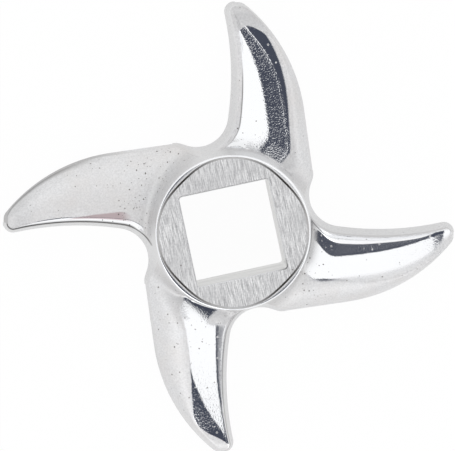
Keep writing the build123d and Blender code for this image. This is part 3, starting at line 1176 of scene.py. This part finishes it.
def wall_finish(tree, place):
    """Blasted cast stainless: an even light grey with a fine tooth."""
    grain = node(tree, "ShaderNodeTexNoise", {"Vector": place, "Scale": per(blast_grain), "Detail": 4.0})
    pores = pits(tree, place, 1.6, 0.22, 0.10)
    tone = node(tree, "ShaderNodeMapRange", {"Value": grain, **stretched(0.3, 0.7)})
    relief = node(tree, "ShaderNodeBump", {"Height": grain, "Distance": blast_depth})
    holed = {"Height": pores, "Distance": wall_pore_depth, "Normal": relief}
    return "#cfcfd0", [(tone, "#e6e6e6"), (pores, "#8b8883")], {
        "Roughness": node(tree, "ShaderNodeMapRange", {"Value": grain, **stretched(0.3, 0.7, 0.38, 0.50)}),
        "Normal": node(tree, "ShaderNodeBump", holed, invert=True),
    }


finish_of_zone["cast_wall"] = steel("blasted_stainless_steel", wall_finish)
print("blasted finish:", len(finish_of_zone["cast_wall"].node_tree.nodes), "nodes")

# %% Broached and lapped stainless steel
broach_spacing, lap_spacing = 0.9, 0.35
broach_length, lap_length = 0.06, 0.05  # the patterns run this many times slower along a line
broach_depth, lap_depth = 0.02 * millimetre, 0.012 * millimetre


def hole_finish(tree, place):
    """Broached stainless: lines along the rim that the broach's teeth left."""
    level = node(tree, "ShaderNodeMapping", {"Vector": place, "Scale": (broach_length, broach_length, 1.0)})
    lines = node(tree, "ShaderNodeTexNoise", {"Vector": level, "Scale": per(broach_spacing), "Detail": 3.0})
    tone = node(tree, "ShaderNodeMapRange", {"Value": lines, **stretched(0.35, 0.65)})
    return "#cdcdcc", [(tone, "#f4f4f3")], {
        "Roughness": node(tree, "ShaderNodeMapRange", {"Value": lines, **stretched(0.3, 0.7, 0.28, 0.40)}),
        "Normal": node(tree, "ShaderNodeBump", {"Height": lines, "Distance": broach_depth}),
    }


def plate_side_finish(tree, place):
    """Lapped stainless: brighter than the ground hub face, with fine lines."""
    drawn_out = node(tree, "ShaderNodeMapping", {"Vector": place, "Scale": (lap_length, 1.0, 1.0)})
    lines = node(tree, "ShaderNodeTexNoise", {"Vector": drawn_out, "Scale": per(lap_spacing), "Detail": 2.0})
    tone = node(tree, "ShaderNodeMapRange", {"Value": lines, **stretched(0.3, 0.7)})
    return "#b9babc", [(tone, "#dadbdc")], {
        "Roughness": node(tree, "ShaderNodeMapRange", {"Value": lines, **stretched(0.3, 0.7, 0.34, 0.24)}),
        "Normal": node(tree, "ShaderNodeBump", {"Height": lines, "Distance": lap_depth}),
    }


finish_of_zone["drive_hole"] = steel("broached_stainless_steel", hole_finish)
finish_of_zone["plate_side"] = steel("lapped_stainless_steel", plate_side_finish)
print("materials:", ", ".join(material.name for material in finish_of_zone.values()))

# %% [markdown]
# ## The pinwheel
#
# Four arms round one axis is a rule, so a small Geometry Nodes tree sets them out: one
# point for each arm, an arm on each point, turned by an equal share of a full turn. The
# arms come from a collection, and each point takes the arm of its own number. The tree
# then adds the drive hole, makes everything real, welds the shared edges and gives each
# zone its finish.

# %% The tree and its inputs
weld_distance = 0.0005 * millimetre

tree = bpy.data.node_groups.new("pinwheel", "GeometryNodeTree")
sockets = {}
for name, kind, default in (
    ("Geometry", "NodeSocketGeometry", None),
    ("Arms", "NodeSocketCollection", None),
    ("Count", "NodeSocketInt", arm_count),
    ("First Turn", "NodeSocketFloat", math.radians(arm_turn)),
    ("Weld Distance", "NodeSocketFloat", weld_distance),
):
    sockets[name] = tree.interface.new_socket(name, in_out="INPUT", socket_type=kind)
    if default is not None:
        sockets[name].default_value = default
tree.interface.new_socket("Geometry", in_out="OUTPUT", socket_type="NodeSocketGeometry")

print("inputs:", ", ".join(sockets))

# %% Set out the arms, weld them and give each zone its finish
given = node(tree, "NodeGroupInput").node.outputs
points = node(tree, "GeometryNodePoints", {"Count": given["Count"]})
number = node(tree, "GeometryNodeInputIndex")
each_turn = node(tree, "ShaderNodeMath", {0: 2 * math.pi, 1: given["Count"]}, operation="DIVIDE")
turns = {0: number, 1: each_turn, 2: given["First Turn"]}
turn = node(tree, "ShaderNodeMath", turns, operation="MULTIPLY_ADD")
rotation = node(tree, "ShaderNodeCombineXYZ", {"Z": turn})
source = node(tree, "GeometryNodeCollectionInfo", {"Collection": given["Arms"], "Separate Children": True})
choice = {"Instance": source, "Pick Instance": True, "Instance Index": number}
placed = node(tree, "GeometryNodeInstanceOnPoints", {"Points": points, **choice, "Rotation": rotation})
together = node(tree, "GeometryNodeJoinGeometry", {"Geometry": placed})
tree.links.new(given["Geometry"], together.node.inputs["Geometry"])
real = node(tree, "GeometryNodeRealizeInstances", {"Geometry": together})
shape = node(tree, "GeometryNodeMergeByDistance", {"Geometry": real, "Distance": given["Weld Distance"]})
zone = node(tree, "GeometryNodeInputNamedAttribute", {"Name": "zone"}, data_type="INT")
first_whole, second_whole = 2, 3  # the sockets of a Compare node for whole numbers
for index, name in enumerate(zones):
    pair = {first_whole: zone, second_whole: index}
    chosen = node(tree, "FunctionNodeCompare", pair, data_type="INT", operation="EQUAL")
    covered = {"Geometry": shape, "Selection": chosen, "Material": finish_of_zone[name]}
    shape = node(tree, "GeometryNodeSetMaterial", covered)
node(tree, "NodeGroupOutput", {0: shape})
print("tree:", len(tree.nodes), "nodes")

# %% Grow the casting and keep it as a plain mesh
modifier = hole.modifiers.new("pinwheel", "NODES")
modifier.node_group = tree
modifier[sockets["Arms"].identifier] = arms
modifier[sockets["Count"].identifier] = arm_count
modifier[sockets["First Turn"].identifier] = math.radians(arm_turn)
modifier[sockets["Weld Distance"].identifier] = weld_distance

graph = bpy.context.evaluated_depsgraph_get()
casting_mesh = bpy.data.meshes.new_from_object(
    hole.evaluated_get(graph), preserve_all_data_layers=True, depsgraph=graph
)
casting = bpy.data.objects.new("knife_casting", casting_mesh)
bpy.context.scene.collection.objects.link(casting)
bpy.data.objects.remove(hole)
for arm in list(arms.objects):
    bpy.data.objects.remove(arm)
bpy.data.collections.remove(arms)
print("grown:", len(casting_mesh.vertices), "points,", len(casting_mesh.polygons), "faces")

# %% [markdown]
# The two flat faces are still open. Each is a plane with one outline and the square
# hole in it, and Blender can fill that in one step. The ground behind each strip is
# open too, but it has no hole in it, so one face closes it. Then the mesh is closed,
# and its volume can be measured.

# %% Fill the flat faces and check that the skin is closed


def material_number(mesh, zone_name):
    return list(mesh.materials).index(finish_of_zone[zone_name])


shell = bmesh.new()
shell.from_mesh(casting_mesh)
bmesh.ops.remove_doubles(shell, verts=shell.verts, dist=weld_distance)
bmesh.ops.dissolve_degenerate(shell, edges=shell.edges, dist=weld_distance)
flat = 0.002 * millimetre


def fill_level(height, zone_name, normal):
    """Close the opening whose edges all lie at one height."""
    level = height * millimetre
    rim = [e for e in shell.edges if e.is_boundary and all(abs(v.co.z - level) < flat for v in e.verts)]
    before = set(shell.faces)
    bmesh.ops.triangle_fill(shell, edges=rim, use_beauty=True, use_dissolve=False, normal=normal)
    filled = [face for face in shell.faces if face not in before]
    for face in filled:
        face.material_index = material_number(casting_mesh, zone_name)
    return len(filled)


filled_below = fill_level(0, "plate_side", Vector((0, 0, -1)))
filled_above = fill_level(hub_height, "hub_face", Vector((0, 0, 1)))
behind_strips = [edge for edge in shell.edges if edge.is_boundary]
bmesh.ops.holes_fill(shell, edges=behind_strips, sides=0)
bmesh.ops.recalc_face_normals(shell, faces=shell.faces)
if shell.calc_volume(signed=True) < 0:
    bmesh.ops.reverse_faces(shell, faces=shell.faces)
open_edges = sum(not edge.is_manifold for edge in shell.edges)
volume = shell.calc_volume(signed=True) / millimetre**3
shell.to_mesh(casting_mesh)
shell.free()
print("filled", filled_below, "+", filled_above, "faces, with", open_edges, "open edges left")
print("volume, mm3:", round(volume))

# %% [markdown]
# Corners sharper than this angle stay crisp, such as the crest, the foot and the bevel
# of the drive hole. Everything gentler is shaded as one flowing surface.

# %% Smooth shading with crisp corners
crisp_corner = math.radians(32)

for face in casting_mesh.polygons:
    face.use_smooth = True
casting_mesh.set_sharp_from_angle(angle=crisp_corner)
casting_mesh.update()
triangles = sum(len(face.vertices) - 2 for face in casting_mesh.polygons)
print("triangles:", triangles)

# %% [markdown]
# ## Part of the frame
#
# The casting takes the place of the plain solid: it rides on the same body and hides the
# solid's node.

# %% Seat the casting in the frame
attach(casting, "root")
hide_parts("grinder_knife")
print("seated:", casting.name)

# %% [markdown]
# ## The studio
#
# A mirror-bright object is a picture of its room, so the room is designed with care. It
# is a white tent, greyer only close to the horizon, with one dark round opening beside
# the zenith. That opening is what the scoops show as their dark reflections, and where
# it sits decides which slopes turn dark. The floor is plain white paper.

# %% Directions in the studio
view_up = Vector((math.cos(math.radians(90 + arm_turn)), math.sin(math.radians(90 + arm_turn)), 0))
view_right = Vector((view_up.y, -view_up.x, 0))


def direction(right, up):
    """A direction that leans from the zenith by degrees to the right and up the view."""
    lean = view_right * math.tan(math.radians(right)) + view_up * math.tan(math.radians(up))
    return (lean + Vector((0, 0, 1))).normalized()


tent_white, horizon_grey, tent_gap = "#ffffff", "#a9abad", "#454955"
tent_strength = 1.09
gap_direction = direction(-3.0, -10.0)
gap_half_angle = 16.0
gap_softness = 1.5  # degrees over which the opening's rim is soft, to each side
print("the view's up on the floor:", [round(value, 2) for value in view_up])

# %% The tent
world = bpy.data.worlds.new("tent")
world.use_nodes = True
bpy.context.scene.world = world
tree = world.node_tree
tree.nodes.clear()
towards = node(tree, "ShaderNodeTexCoord", output="Generated")

level = node(tree, "ShaderNodeSeparateXYZ", {"Vector": towards}, "Z")
low_share = node(tree, "ShaderNodeMapRange", {"Value": level, **stretched(0.15, 0.02)})
gap_inner = math.cos(math.radians(gap_half_angle - gap_softness))
gap_outer = math.cos(math.radians(gap_half_angle + gap_softness))
to_gap = node(tree, "ShaderNodeVectorMath", {0: towards, 1: gap_direction}, "Value", operation="DOT_PRODUCT")
gap_share = node(tree, "ShaderNodeMapRange", {"Value": to_gap, **stretched(gap_outer, gap_inner)})
tent = tent_white
for share, layer in ((low_share, horizon_grey), (gap_share, tent_gap)):
    blend = {share_socket: share, first_colour: tent, second_colour: layer}
    tent = node(tree, "ShaderNodeMix", blend, mixed_colour, data_type="RGBA")
tent_light = node(tree, "ShaderNodeBackground", {"Color": tent, "Strength": tent_strength})
backdrop = node(tree, "ShaderNodeBackground", {"Color": "#ffffff", "Strength": 1.0})
seen = node(tree, "ShaderNodeLightPath", output="Is Camera Ray")
shown = node(tree, "ShaderNodeMixShader", {0: seen, 1: tent_light, 2: backdrop})
node(tree, "ShaderNodeOutputWorld", {"Surface": shown})
print("tent: opening", 2 * gap_half_angle, "degrees wide at", [round(value, 2) for value in gap_direction])

# %% The floor
floor_half = 1.5  # metres
floor_drop = 0.02 * millimetre
floor_white = 0.96  # share of plain white in what the camera sees of the floor
floor_in_mirror = 0.8  # and in what the metal reflects of it
fibre_spacing = 1.2

floor_mesh = bpy.data.meshes.new("floor")
corners = [(x * floor_half, y * floor_half, -floor_drop) for x, y in ((-1, -1), (1, -1), (1, 1), (-1, 1))]
floor_mesh.from_pydata(corners, [], [(0, 1, 2, 3)])
floor = bpy.data.objects.new("floor", floor_mesh)
bpy.context.scene.collection.objects.link(floor)

paper = bpy.data.materials.new("white_paper")
paper.use_nodes = True
tree = paper.node_tree
shader = tree.nodes["Principled BSDF"]
shader.inputs["Roughness"].default_value = 0.9
shader.inputs["Specular IOR Level"].default_value = 0.1
place = node(tree, "ShaderNodeTexCoord", output="Object")
fibre = node(tree, "ShaderNodeTexNoise", {"Vector": place, "Scale": per(fibre_spacing), "Detail": 3.0})
blend = {share_socket: fibre, first_colour: "#f0f0f0", second_colour: "#f6f6f6"}
paper_colour = node(tree, "ShaderNodeMix", blend, mixed_colour, data_type="RGBA")
tree.links.new(paper_colour, shader.inputs["Base Color"])
camera_ray = node(tree, "ShaderNodeLightPath", output="Is Camera Ray")
glossy_ray = camera_ray.node.outputs["Is Glossy Ray"]
white = node(tree, "ShaderNodeEmission", {"Color": "#ffffff", "Strength": 1.0})
in_mirror = node(tree, "ShaderNodeMath", {0: glossy_ray, 1: floor_in_mirror}, operation="MULTIPLY")
rays = {0: camera_ray, 1: floor_white, 2: in_mirror}
share = node(tree, "ShaderNodeMath", rays, operation="MULTIPLY_ADD")
shown = node(tree, "ShaderNodeMixShader", {0: share, 1: shader.outputs[0], 2: white})
tree.links.new(shown, tree.nodes["Material Output"].inputs["Surface"])
floor_mesh.materials.append(paper)
print("floor:", 2 * floor_half, "m wide")

# %% [markdown]
# One large soft lamp stands to the left and in front, as a window would. It gives the
# satin parts their gradients and the knife its faint shadow.

# %% The soft lamp
lamp_distance, lamp_size = 0.9, 0.7  # metres
lamp_watts = 0.9
lamp_lean = (-26, -42)  # degrees from the zenith, to the right and up the view

lamp = bpy.data.lights.new("softbox", "AREA")
lamp.shape = "DISK"
lamp.size = lamp_size
lamp.energy = lamp_watts
softbox = bpy.data.objects.new("softbox", lamp)
bpy.context.scene.collection.objects.link(softbox)
softbox.location = direction(*lamp_lean) * lamp_distance
softbox.rotation_euler = (-softbox.location).to_track_quat("-Z", "Y").to_euler()
print("lamp at", [round(value, 2) for value in softbox.location], "m")

# %% [markdown]
# ## The camera
#
# A long lens from far off keeps the shape free of perspective. It looks almost straight
# down, leaning a few degrees, which is just enough to show the hub standing proud.

# %% Camera
image_width, image_height = 455, 451
pixels_per_millimetre = 3.765
axis_pixel = (228.8, 227.2)  # where the hub's axis meets the floor in the image
camera_lean = (-2.97, 3.89)  # degrees from the zenith, to the right and up the view
camera_distance = 1600.0
sensor_width = 36.0
sight_limit = 10.0  # metres

camera_data = bpy.data.cameras.new("camera")
camera = bpy.data.objects.new("camera", camera_data)
bpy.context.scene.collection.objects.link(camera)
bpy.context.scene.camera = camera
camera_data.sensor_width = sensor_width
camera_data.sensor_fit = "HORIZONTAL"
camera_data.lens = pixels_per_millimetre * camera_distance * sensor_width / image_width
camera_data.clip_end = sight_limit

aside = (image_width / 2 - axis_pixel[0]) / pixels_per_millimetre
above = (axis_pixel[1] - image_height / 2) / pixels_per_millimetre
aim = (view_right * aside + view_up * above) * millimetre
backwards = direction(*camera_lean)
upwards = (view_up - backwards * view_up.dot(backwards)).normalized()
rightwards = upwards.cross(backwards)
camera.location = aim + backwards * camera_distance * millimetre
turn = camera.matrix_world.copy()
for column, axis in enumerate((rightwards, upwards, backwards)):
    for row in range(3):
        turn[row][column] = axis[row]
camera.rotation_euler = turn.to_euler()
bpy.context.scene.view_settings.view_transform = "Standard"
print("lens, mm:", round(camera_data.lens, 1))

# %% [markdown]
